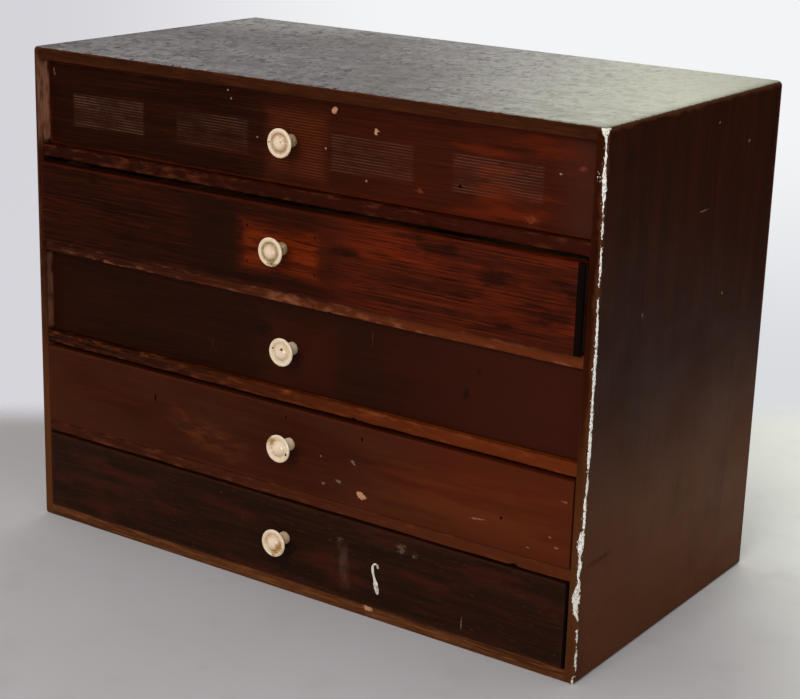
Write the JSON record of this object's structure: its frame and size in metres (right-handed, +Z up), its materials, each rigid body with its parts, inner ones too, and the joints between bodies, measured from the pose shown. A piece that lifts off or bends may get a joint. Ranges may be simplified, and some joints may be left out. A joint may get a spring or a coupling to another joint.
{
  "type": "type case cabinet",
  "caption": "Tabletop wooden type cabinet: a rectangular case of thin boards with full-width sliding drawers, each with dividers inside and one turned bone knob.",
  "frame": {"origin": "centre of the case's underside, between the two sides and between its front and back faces", "axes": "+X to the right of someone facing the drawer fronts, +Y from the fronts towards the back, +Z up"},
  "size_m": [0.508, 0.2915, 0.39],
  "materials": {
    "case_wood": "old dark varnished hardwood, worn edges",
    "top_wood": "greyed and pitted old varnish on hardwood",
    "rail_wood": "worn stained hardwood",
    "runner_wood": "bare planed softwood, rubbed",
    "back_wood": "bare planed softwood, darkened",
    "front_1_wood": "dark red-brown stain and varnish, scratched",
    "front_2_wood": "orange-red stain and varnish, glossy",
    "front_3_wood": "dark brown stain and varnish, dull",
    "front_4_wood": "warm red-brown stain and varnish",
    "front_5_wood": "nearly black stained wood, dull and scraped",
    "drawer_box_wood": "bare planed hardwood, aged",
    "divider_wood": "bare planed hardwood, aged",
    "knob_bone": "turned and polished bone, brown dirt in the ring",
    "screw_steel": "plain steel, dulled",
    "pin_iron": "iron wire, rusted dull"
  },
  "bodies": {
    "case": {"left_side": "case_wood", "right_side": "case_wood", "top_board": "top_wood", "bottom_board": "case_wood", "back_board_lower": "back_wood", "back_board_upper": "back_wood", "back_pins": "pin_iron", "rail_1": "rail_wood", "runners_1": "runner_wood", "rail_2": "rail_wood", "runners_2": "runner_wood", "rail_3": "rail_wood", "runners_3": "runner_wood", "rail_4": "rail_wood", "runners_4": "runner_wood"},
    "drawer_1": {"drawer_1_front": "front_1_wood", "drawer_1_left_side": "drawer_box_wood", "drawer_1_right_side": "drawer_box_wood", "drawer_1_back": "drawer_box_wood", "drawer_1_bottom": "drawer_box_wood", "drawer_1_long_divider": "divider_wood", "drawer_1_cross_dividers": "divider_wood", "drawer_1_knob": "knob_bone", "drawer_1_knob_screw": "screw_steel"},
    "drawer_2": {"drawer_2_front": "front_2_wood", "drawer_2_left_side": "drawer_box_wood", "drawer_2_right_side": "drawer_box_wood", "drawer_2_back": "drawer_box_wood", "drawer_2_bottom": "drawer_box_wood", "drawer_2_long_divider": "divider_wood", "drawer_2_cross_dividers": "divider_wood", "drawer_2_knob": "knob_bone", "drawer_2_knob_screw": "screw_steel"},
    "drawer_3": {"drawer_3_front": "front_3_wood", "drawer_3_left_side": "drawer_box_wood", "drawer_3_right_side": "drawer_box_wood", "drawer_3_back": "drawer_box_wood", "drawer_3_bottom": "drawer_box_wood", "drawer_3_long_divider": "divider_wood", "drawer_3_cross_dividers": "divider_wood", "drawer_3_knob": "knob_bone", "drawer_3_knob_screw": "screw_steel"},
    "drawer_4": {"drawer_4_front": "front_4_wood", "drawer_4_left_side": "drawer_box_wood", "drawer_4_right_side": "drawer_box_wood", "drawer_4_back": "drawer_box_wood", "drawer_4_bottom": "drawer_box_wood", "drawer_4_long_divider": "divider_wood", "drawer_4_cross_dividers": "divider_wood", "drawer_4_knob": "knob_bone", "drawer_4_knob_screw": "screw_steel"},
    "drawer_5": {"drawer_5_front": "front_5_wood", "drawer_5_left_side": "drawer_box_wood", "drawer_5_right_side": "drawer_box_wood", "drawer_5_back": "drawer_box_wood", "drawer_5_bottom": "drawer_box_wood", "drawer_5_long_divider": "divider_wood", "drawer_5_cross_dividers": "divider_wood", "drawer_5_knob": "knob_bone", "drawer_5_knob_screw": "screw_steel"}
  },
  "joints": [
    {"name": "drawer_1_slide", "type": "slide", "parent": "case", "child": "drawer_1", "axis": [0, -1, 0], "range_m": [-0.0012, 0.2025]},
    {"name": "drawer_2_slide", "type": "slide", "parent": "case", "child": "drawer_2", "axis": [0, -1, 0], "range_m": [-0.0127, 0.191]},
    {"name": "drawer_3_slide", "type": "slide", "parent": "case", "child": "drawer_3", "axis": [0, -1, 0], "range_m": [-0.0022, 0.2015]},
    {"name": "drawer_4_slide", "type": "slide", "parent": "case", "child": "drawer_4", "axis": [0, -1, 0], "range_m": [-0.0087, 0.195]},
    {"name": "drawer_5_slide", "type": "slide", "parent": "case", "child": "drawer_5", "axis": [0, -1, 0], "range_m": [-0.0087, 0.195]}
  ]
}
